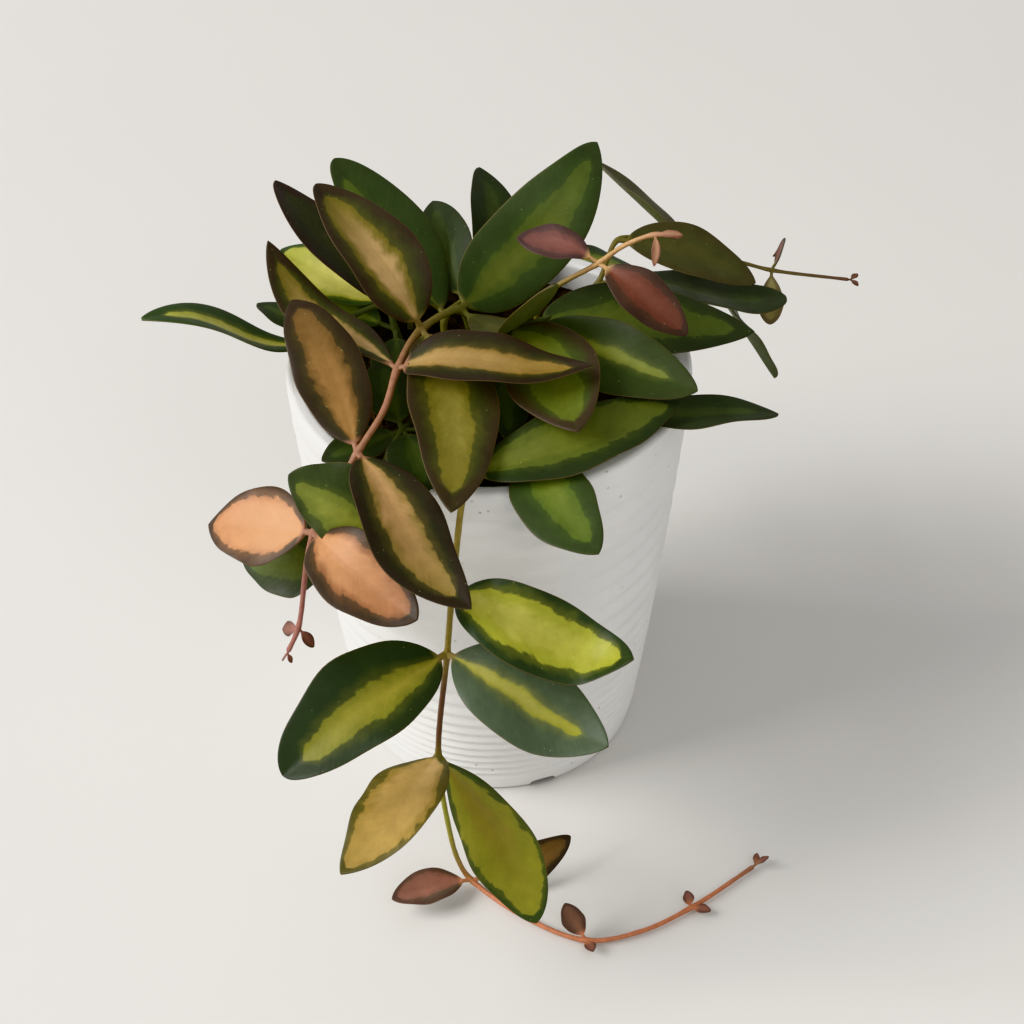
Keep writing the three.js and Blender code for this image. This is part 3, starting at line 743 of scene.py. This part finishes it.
def leaf_axes(heading, pitch, roll):
    """Along from stalk to tip, up out of the upper face, and side across the blade."""
    h, p, r = np.radians([heading, pitch, roll])
    along = np.array([np.cos(p) * np.cos(h), np.cos(p) * np.sin(h), np.sin(p)])
    level = np.array([-np.sin(p) * np.cos(h), -np.sin(p) * np.sin(h), np.cos(p)])
    up = np.cos(r) * level + np.sin(r) * np.cross(level, along)
    return along, up, np.cross(up, along)


def midrib(share, origin, axes, total, arch, sway, curl):
    along, up, side = axes
    share = np.asarray(share)[:, None]
    bow = np.sin(np.pi * share)
    wave = np.sin(2 * np.pi * share)
    return origin + total * (share * along + (arch * bow + curl * wave) * up + sway * bow * side)


def midrib_frames(place, share, origin, axes, total, bends, twist):
    """The midrib's points, each with its directions across the blade and out of its upper face."""
    rib = midrib(place, origin, axes, total, *bends)
    forward = unit(midrib(place + 0.01, origin, axes, total, *bends) - rib)
    across = square_to(np.broadcast_to(axes[2], forward.shape), forward)
    normal = np.cross(forward, across)
    turn = np.radians(twist) * (share - 0.5)[:, None]
    turned = np.cos(turn) * across + np.sin(turn) * normal
    return rib, turned, np.cos(turn) * normal - np.sin(turn) * across


def half_width(share, width, fullest, blunt):
    """The outline's distance from the midrib. A larger blunt makes a rounder tip."""
    power = math.log(0.5) / math.log(fullest)
    exponent = 0.72 + 0.14 * share - blunt * smooth(0.4, 1, share)
    return width / 2 * np.clip(np.sin(np.pi * share**power), 0, 1) ** exponent


def even_ends(steps):
    """Shares from 0 to 1 that lie closer together at both ends."""
    return (1 - np.cos(np.pi * np.arange(steps + 1) / steps)) / 2


def leaf_steps(length, width, stalk):
    """Shares along the blade, 0 on all of the stalk, and shares along stalk and blade together."""
    blade = even_ends(LEAF_STEPS // 2 if width < SMALL_LEAF else LEAF_STEPS)
    share = np.concatenate([np.zeros(STALK_STEPS), blade])
    early = np.arange(STALK_STEPS) / STALK_STEPS
    return share, np.concatenate([early * stalk, stalk + length * blade]) / (length + stalk)


def leaf_outline(share, width, fullest, blunt):
    """Half the width and half the thickness at each share: a round stalk that widens into the blade."""
    stalk_half = STALK_HALF[0] + STALK_HALF[1] * width
    blade_half = BLADE_HALF[0] + BLADE_HALF[1] * width
    half = np.maximum(half_width(share, width, fullest, blunt), stalk_half * (1 - 0.85 * share))
    half[:STALK_STEPS] *= 1 + 0.25 * (1 - np.arange(STALK_STEPS) / STALK_STEPS) ** 2
    on_blade = smooth(0, 0.07, share)
    return half, stalk_half * 0.9 * (1 - on_blade) + blade_half * on_blade, on_blade


def leaf_section(on_blade, width):
    """Places across the leaf from -1 to 1, the face that each is on, and how thick each section is there."""
    lanes = LEAF_LANES // 2 if width < SMALL_LEAF else LEAF_LANES
    angle = np.pi * np.arange(2 * lanes) / lanes
    v = -np.cos(angle)
    face = np.sign(np.sin(angle)) * (np.abs(np.sin(angle)) > 1e-6)
    blade_section = np.sqrt(np.clip(1 - v**4, 0, 1)) * face
    stalk_section = np.sin(angle)
    return v, face, np.outer(on_blade, blade_section) + np.outer(1 - on_blade, stalk_section)


def leaf_waves(share, v):
    """How the edges rise and fall and how the outline bulges, both from -1 to 1."""
    phase = rng.uniform(0, 2 * np.pi, 4)
    beats = rng.uniform(*WAVE_BEATS)
    swing = np.sin(2 * np.pi * beats * share[:, None] + phase[0] + np.where(v > 0, phase[1], 0))
    bulge = np.sin(2 * np.pi * (beats + 0.6) * share[:, None] + phase[2] + np.where(v > 0, phase[3], 0))
    return swing, bulge


def leaf_relief(share, v, face, side_mm, length, width, on_blade):
    """The midrib's groove above and ridge below, and the faint relief of the veins."""
    fading = (on_blade * (1 - share))[:, None]
    groove = np.exp(-((side_mm / GROOVE_HALF) ** 2)) * fading
    depth = np.where(face > 0, -GROOVE_ABOVE, -RIDGE_BELOW)
    relief = depth * groove * np.minimum(1, width / FULL_GROOVE_WIDTH)
    veins = np.cos((share[:, None] * length - np.abs(side_mm)) * 2 * np.pi / (0.16 * width + 1.5))
    return relief - VEIN_RELIEF * veins * fading * np.clip(1 - v**2, 0, 1) * (face != 0)


def band_values(share, outer_band, inner_band, offset):
    """The widths of the pale band and of its heart, which narrow to both ends and stop short of the tip."""
    taper = np.clip(np.sin(np.pi * np.clip(share * 0.94 + 0.03, 0, 1)), 0, 1) ** 0.35
    tip_room = 0.03 + 0.12 * (1 - outer_band)
    stop = smooth(1 - 0.4 * tip_room, 1 - 1.6 * tip_room, share)
    closed = (1 - stop) * 0.5
    outer_width = outer_band * taper * stop - closed
    inner_width = inner_band * taper * stop - closed
    return np.stack([outer_width, inner_width, offset * np.ones_like(share)], -1)[:, None]


def leaf_values(share, v, face, half, length, bands, look, tint):
    """What the leaf's material reads: places, sizes, bands and colours."""
    seed = rng.uniform(0, 1)
    whole = np.ones((len(share), len(v)))
    place = np.stack([share[:, None] * whole, v * whole, seed * whole], -1)
    size = np.stack([length * whole, half[:, None] * whole, (face < 0) * whole], -1)
    inner, outer, margin, rim, flush = LOOKS[look]
    colors = {"inner": solid(*inner), "outer": solid(*outer), "margin": solid(*margin)}
    colors |= {"rim": (*srgb(*rim), flush), "tint": (*tint, 1)}
    values = {"leaf": place[:, ::-1], "band": band_values(share, *bands), "size": size[:, ::-1]}
    return values | {key: np.array([[color]]) for key, color in colors.items()}


def leaf(skin, path, row, tint):
    """Adds the leaf of one row to a stem's skin, as a closed body with its stalk."""
    point, heading, pitch, roll, length, width, stalk = row[:7]
    arch, sway, curl, cup, twist, fullest, look = row[7:14]
    bands = row[14:17] or PLAIN_BAND
    blunt = row[17] if len(row) > 17 else TIP_BLUNT
    origin = np.array(path[point], float)
    axes = leaf_axes(heading, pitch, roll)
    share, place = leaf_steps(length, width, stalk)
    bends = (arch, sway, curl)
    rib, across, normal = midrib_frames(place, share, origin, axes, length + stalk, bends, twist)
    half, thick, on_blade = leaf_outline(share, width, fullest, blunt)
    v, face, section = leaf_section(on_blade, width)
    swing, bulge = leaf_waves(share, v)

    fold = np.sqrt(v * v + FOLD_SOFTNESS) - math.sqrt(FOLD_SOFTNESS)
    lift = np.outer(half * math.sin(math.radians(cup)), fold)
    wave = EDGE_WAVE * half[:, None] * swing * v**2 * on_blade[:, None]
    side_mm = half[:, None] * v * (1 + OUTLINE_WAVE * bulge * np.abs(v) * on_blade[:, None])
    relief = leaf_relief(share, v, face, side_mm, length, width, on_blade)
    height = lift + wave + thick[:, None] * section + relief
    rings = rib[:, None] + side_mm[..., None] * math.cos(math.radians(cup)) * across[:, None]
    rings = rings + height[..., None] * normal[:, None]
    skin.loft(rings[:, ::-1], 0, **leaf_values(share, v, face, half, length, bands, look, tint))


# Stems


def curve_points(points):
    """A centripetal Catmull-Rom curve through the points, with about a point every STEM_STEP.

    The second result says for each point of the curve between which of the given points it lies.
    """
    points = np.array(points, float)
    ends = np.vstack([2 * points[0] - points[1], points, 2 * points[-1] - points[-2]])
    made = []
    knots = []
    for i in range(1, len(ends) - 2):
        p0, p1, p2, p3 = ends[i - 1 : i + 3]
        pairs = ((p0, p1), (p1, p2), (p2, p3))
        before, between, after = [math.sqrt(np.linalg.norm(b - a)) for a, b in pairs]
        leave = (p2 - p1) + between * ((p1 - p0) / before - (p2 - p0) / (before + between))
        arrive = (p2 - p1) + between * ((p3 - p2) / after - (p3 - p1) / (between + after))
        steps = max(2, round(np.linalg.norm(p2 - p1) / STEM_STEP))
        t = (np.arange(steps) / steps)[:, None]
        cubic = (2 * t**3 - 3 * t**2 + 1) * p1 + (t**3 - 2 * t**2 + t) * leave
        cubic = cubic + (3 * t**2 - 2 * t**3) * p2 + (t**3 - t**2) * arrive
        made.append(cubic)
        knots += [i - 1 + k for k in t[:, 0]]
    made.append(points[-1:])
    return np.concatenate(made), np.array(knots + [len(points) - 1])


def directions_round(centres):
    """Two directions square to a curve at each of its points, which don't spin along it."""
    tangent = unit(np.gradient(centres, axis=0))
    across = np.zeros_like(centres)
    last = np.array([1.0, 0, 0])
    for i, direction in enumerate(tangent):
        last = square_to(last[None], direction[None])[0]
        across[i] = last
    return across, np.cross(across, tangent)


def blended(colors, share):
    """Colours at each share of the way through a list of colours."""
    colors = np.array(colors)
    at = np.clip(share, 0, 1) * (len(colors) - 1)
    low = np.minimum(at.astype(int), len(colors) - 2)
    part = (at - low)[:, None]
    return colors[low] * (1 - part) + colors[low + 1] * part


def stem_radius(run, knot, facts):
    """The radius at each run in millimetres: tapering, thicker at the nodes and rounded off at the tip."""
    radius = np.interp(run / run[-1], (0, 1), facts["radius"])
    for node in {row[0] + len(ROOT_HEIGHTS) for row in facts["leaves"]}:
        at = np.interp(node, knot, run)
        radius = radius * (1 + NODE_SWELL * np.exp(-(((run - at) / NODE_LENGTH) ** 2)))
    radius = radius * (1 + STEM_UNEVEN * np.sin(run * 0.9) * np.sin(run * 0.23 + 1))
    tip = np.clip((run[-1] - run) / STEM_TIP, 0, 1)
    return radius * np.sqrt(1 - (1 - tip) ** 2 * 0.97)


def stem_tube(skin, facts):
    """Adds a stem to the skin and says its colour and its place between the path's points all along."""
    rooted = [(*facts["root"], height) for height in ROOT_HEIGHTS]
    centres, knot = curve_points(rooted + facts["path"])
    across, up = directions_round(centres)
    run = np.concatenate([[0], np.cumsum(np.linalg.norm(np.diff(centres, axis=0), axis=1))])
    angle = 2 * np.pi * np.arange(STEM_SIDES) / STEM_SIDES
    ribbing = 1 + STEM_RIBBING * np.cos(3 * angle)[None] * np.ones((len(run), 1))
    wide = (stem_radius(run, knot, facts)[:, None] * ribbing)[..., None]
    rings = centres[:, None] + wide * (np.cos(angle)[None, :, None] * across[:, None])
    rings = rings + wide * (np.sin(angle)[None, :, None] * up[:, None])
    tints = blended([srgb(*TWIG[name]) for name in facts["tints"].split()], run / run[-1])
    values = {key: np.zeros((1, 1, 3)) for key in ("leaf", "band", "size")}
    values |= {key: np.zeros((1, 1, 4)) for key in ("inner", "outer", "margin", "rim")}
    values["tint"] = np.concatenate([tints, np.ones((len(run), 1))], axis=1)[:, None]
    skin.loft(rings, 1, **values)
    return tints, knot


def leafy_stem(name, facts, materials):
    skin = Skin()
    tints, knot = stem_tube(skin, facts)
    for row in facts["leaves"]:
        nearest = int(np.argmin(np.abs(knot - (row[0] + len(ROOT_HEIGHTS)))))
        leaf(skin, facts["path"], row, tints[nearest])
    piece = skin.build(f"fine_stem_{name}", materials)
    node = f"leafy_stem_{name}"
    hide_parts(node)
    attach(piece, "root")


# Pot


def outer_radius(height):
    share = height / POT_HEIGHT
    return FOOT_RADIUS + (RIM_RADIUS - FOOT_RADIUS) * share + 4 * POT_BELLY * share * (1 - share)


def rib_pitch(height):
    return NARROW_PITCH + PITCH_GROWTH / (1 + math.exp((PITCH_CHANGE_HEIGHT - height) / PITCH_CHANGE_SPREAD))


def rib_crests():
    """The ribs' heights, from the top down to one past the lowest."""
    crests = []
    crest = TOP_RIB
    while crest > LOWEST_RIB:
        crests.append(crest)
        crest -= rib_pitch(crest)
    return crests + [crest]


def wall_heights():
    """Heights up the outside, close enough together to round every rib."""
    crests = rib_crests()
    pairs = zip(crests[:-1], crests[1:])
    steps = [high + (low - high) * k / RIB_STEPS for high, low in pairs for k in range(RIB_STEPS)]
    return steps[::-1]


def rib_relief(height, angle):
    """How far the ribs stand out: narrow crests that wander a little and fade in and out round the pot."""
    crests = np.array(rib_crests())
    wander = 0.5 * np.sin(2 * angle + height / 31) + 0.35 * np.sin(5 * angle - height / 17)
    turns = np.interp(height + wander, crests[::-1], np.arange(len(crests))[::-1])
    depth = RIB_DEPTH * (1 + 0.35 * np.sin(3 * angle + height / 23))
    ends = smooth(3, 9, height) * smooth(TOP_RIB + 2, TOP_RIB - 4, height)
    return ends * depth * (np.abs(np.cos(np.pi * turns)) ** 1.7 - 0.45)


def arc(centre, radius, start, stop, steps):
    turn = np.radians(np.linspace(start, stop, steps))
    return [(centre[0] + radius * math.cos(a), centre[1] + radius * math.sin(a)) for a in turn]


def pot_profile():
    """Radius and height from the middle of the foot, up the outside, over the lip and down to the floor."""
    lip = POT_HEIGHT - LIP_ROUND
    inside = [(outer_radius(z) - WALL, z) for z in np.linspace(lip - 1, 2 * FLOOR_THICKNESS, 20)]
    corner = outer_radius(FLOOR_THICKNESS) - WALL - FLOOR_THICKNESS
    return [
        (0, 0),
        *arc((FOOT_RADIUS - FOOT_ROUND, FOOT_ROUND), FOOT_ROUND, -90, 0, FOOT_ROUND_STEPS),
        *[(outer_radius(height), height) for height in wall_heights()],
        *arc((RIM_RADIUS - 0.15 - LIP_ROUND, lip), LIP_ROUND, 0, 90, LIP_ROUND_STEPS),
        *arc((RIM_RADIUS - WALL + LIP_ROUND - 0.1, lip), LIP_ROUND, 90, 180, LIP_ROUND_STEPS),
        *inside,
        (corner, FLOOR_THICKNESS),
        (0, FLOOR_THICKNESS),
    ]


def lathe(name, profile, sides):
    """A closed body turned about the pot's axis from a profile that starts and ends on the axis."""
    rings = np.array(profile[1:-1])
    angle = 2 * np.pi * np.arange(sides) / sides
    z = rings[:, 1:] * np.ones(sides)
    outside = np.isclose(rings[:, :1], outer_radius(rings[:, 1:]), atol=0.01)
    radius = rings[:, :1] + np.where(outside, rib_relief(z, angle[None]), 0)
    points = np.stack([radius * np.cos(angle), radius * np.sin(angle), z], axis=-1).reshape(-1, 3)
    grid = np.arange(len(points)).reshape(len(rings), sides)
    a, b = grid[:-1], grid[1:]
    quads = np.stack([a, np.roll(a, -1, axis=1), np.roll(b, -1, axis=1), b], axis=-1).reshape(-1, 4)
    return mesh_object(name, points, quads.tolist() + [grid[0][::-1].tolist(), grid[-1].tolist()])


def notch_cutter(angle):
    """A bar with an arched top that reaches through the foot's edge."""
    half = NOTCH_WIDTH / 2
    width = np.linspace(-half, half, NOTCH_STEPS)
    arch = NOTCH_HEIGHT * (1 - (width / half) ** 4) ** 0.5
    outline = np.vstack([np.stack([width, arch], -1), [(half, -NOTCH_BELOW), (-half, -NOTCH_BELOW)]])
    near, far = FOOT_RADIUS - NOTCH_DEPTH, FOOT_RADIUS + WALL
    points = [(x, w, h) for x in (near, far) for w, h in outline]
    many = len(outline)
    faces = [list(range(many)), list(range(many, 2 * many))[::-1]]
    faces += [[i, many + i, many + (i + 1) % many, (i + 1) % many] for i in range(many)]
    cutter = mesh_object("notch", points, faces)
    cutter.matrix_world = Matrix.Rotation(math.radians(angle), 4, "Z")
    return cutter


def cut_notches(piece):
    cutters = [notch_cutter(angle) for angle in NOTCH_ANGLES]
    for cutter in cutters:
        modifier = piece.modifiers.new("notch", "BOOLEAN")
        modifier.operation = "DIFFERENCE"
        modifier.object = cutter
    bpy.context.view_layer.update()
    graph = bpy.context.evaluated_depsgraph_get()
    cut = bpy.data.meshes.new_from_object(piece.evaluated_get(graph))
    piece.modifiers.clear()
    piece.data = cut
    for cutter in cutters:
        bpy.data.objects.remove(cutter)


def make_pot():
    piece = lathe("fine_pot", pot_profile(), POT_SIDES)
    cut_notches(piece)
    piece.data.materials.clear()
    piece.data.materials.append(pot_material())
    piece.data.materials.append(foot_material())
    for face in piece.data.polygons:
        x, y, z = face.center / MM
        under = z < FLOOR_THICKNESS / 2 and math.hypot(x, y) < FOOT_RADIUS - FOOT_ROUND
        face.material_index = int(under)
    piece.data.shade_smooth()
    piece.data.set_sharp_from_angle(angle=math.radians(POT_SHARP_ANGLE))
    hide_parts("pot")
    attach(piece, "root")


# Potting mix


def clear_of_stems(x, y, room):
    roots = [(*facts["root"], facts["radius"][0]) for facts in STEMS.values()]
    return all(math.hypot(x - root_x, y - root_y) > radius + room for root_x, root_y, radius in roots)


def crumb(skin, x, y, z, size):
    """One crumb of bark: a small bent slab with uneven sides."""
    axes = np.linalg.qr(rng.normal(size=(3, 3)))[0]
    reach = size * rng.uniform([0.7, 0.45, 0.2], [1.0, 0.8, 0.45])
    angle = np.linspace(0, 2 * np.pi, CRUMB_SIDES + 1)[:-1]
    outline = rng.uniform(0.75, 1.1, CRUMB_SIDES)
    rings = []
    for level, grow in CRUMB_RINGS:
        wide = outline * grow
        flat = np.stack([np.cos(angle) * wide, np.sin(angle) * wide, np.full(CRUMB_SIDES, level)], -1)
        rings.append((flat * reach) @ axes.T + (x, y, z))
    skin.loft(np.array(rings), 0)


def mix_rings(top):
    """Rings up the mix's side and in over its uneven surface."""
    foot = (outer_radius(FLOOR_THICKNESS) - WALL - FLOOR_THICKNESS - 1, FLOOR_THICKNESS + MIX_CLEARANCE)
    wall = [(outer_radius(z) - WALL - MIX_CLEARANCE, z) for z in (2 * FLOOR_THICKNESS, 60, 110, top)]
    edge = wall[-1][0]
    surface = [(radius, top) for radius in np.linspace(edge - 1, 1, MIX_RINGS)]
    angle = 2 * np.pi * np.arange(MIX_SIDES) / MIX_SIDES
    rings = []
    for radius, height in [foot, *wall, *surface]:
        x, y = radius * np.cos(angle), radius * np.sin(angle)
        rough = np.sin(x * 0.9) * np.cos(y * 0.8 + 1) + np.sin(x * 0.33 + y * 0.4)
        rough = rough + np.sin(y * 1.7 - x * 1.3) * 0.5
        z = height + (MIX_UNEVEN * rough if height == top and radius < edge else 0)
        rings.append(np.stack([x, y, z + 0 * x], -1))
    return np.array(rings)[:, ::-1]


def make_mix():
    top = MIX_TOP - CRUMB_ROOM
    skin = Skin()
    skin.loft(mix_rings(top), 0)
    made = 0
    while made < CRUMBS:
        x, y = rng.uniform(-CRUMB_SQUARE, CRUMB_SQUARE, 2)
        size = rng.uniform(*CRUMB_SIZES)
        if math.hypot(x, y) > CRUMB_REACH - size or not clear_of_stems(x, y, size + MIX_CLEARANCE):
            continue
        crumb(skin, x, y, top + rng.uniform(0.0, CRUMB_ROOM), size)
        made += 1
    piece = skin.build("fine_mix", [mix_material()])
    piece.data.set_sharp_from_angle(angle=math.radians(MIX_SHARP_ANGLE))
    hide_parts("potting_mix")
    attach(piece, "root")


# Camera, light and floor


def make_camera():
    yaw, pitch, roll = np.radians([CAMERA_YAW, CAMERA_PITCH, CAMERA_ROLL])
    ahead = Vector((math.sin(yaw) * math.cos(pitch), math.cos(yaw) * math.cos(pitch), -math.sin(pitch)))
    level = Vector((math.cos(yaw), -math.sin(yaw), 0))
    over = level.cross(ahead)
    right = math.cos(roll) * level + math.sin(roll) * over
    up = math.cos(roll) * over - math.sin(roll) * level
    data = bpy.data.cameras.new("camera")
    data.sensor_width = SENSOR_WIDTH
    data.lens = FOCAL_PIXELS / FRAME_PIXELS * SENSOR_WIDTH
    data.clip_start = NEAREST_SEEN * MM
    data.clip_end = FARTHEST_SEEN * MM
    camera = bpy.data.objects.new("camera", data)
    turn = Matrix((right, up, -ahead)).transposed().to_4x4()
    camera.matrix_world = Matrix.Translation(Vector(CAMERA_PLACE) * MM) @ turn
    bpy.context.scene.collection.objects.link(camera)
    bpy.context.scene.camera = camera


def area_light(name, place, size, power, color):
    data = bpy.data.lights.new(name, "AREA")
    data.shape = "SQUARE"
    data.size = size * MM
    data.energy = power
    data.color = color
    light = bpy.data.objects.new(name, data)
    light.location = Vector(place) * MM
    light.rotation_euler = (Vector(LIGHT_AIM) - Vector(place)).to_track_quat("-Z", "Y").to_euler()
    bpy.context.scene.collection.objects.link(light)


def make_light():
    area_light("window", **WINDOW)
    area_light("front_fill", **FRONT_FILL)
    bpy.context.scene.view_settings.view_transform = "Khronos PBR Neutral"
    world = bpy.data.worlds.new("studio")
    world.use_nodes = True
    background = world.node_tree.nodes["Background"]
    background.inputs["Color"].default_value = SKY_COLOR
    background.inputs["Strength"].default_value = SKY_STRENGTH
    bpy.context.scene.world = world


def make_floor():
    n = Nodes("pale_floor")
    tone = n.noise(n.place(), 0.004, 2)
    color = n.mix(tone, (0.70, 0.69, 0.67, 1.0), (0.74, 0.73, 0.71, 1.0))
    corners = [(-1, -1), (1, -1), (1, 1), (-1, 1)]
    floor = mesh_object("floor", [(x * FLOOR_REACH, y * FLOOR_REACH, 0) for x, y in corners], [(0, 1, 2, 3)])
    floor.data.materials.append(n.finish(color, 0.6))
    floor.location.z = -FLOOR_DROP * MM


make_camera()
make_light()
make_floor()
make_pot()
make_mix()
plant_materials = [leaf_material(), twig_material()]
for stem_name, stem_facts in STEMS.items():
    leafy_stem(stem_name, stem_facts, plant_materials)
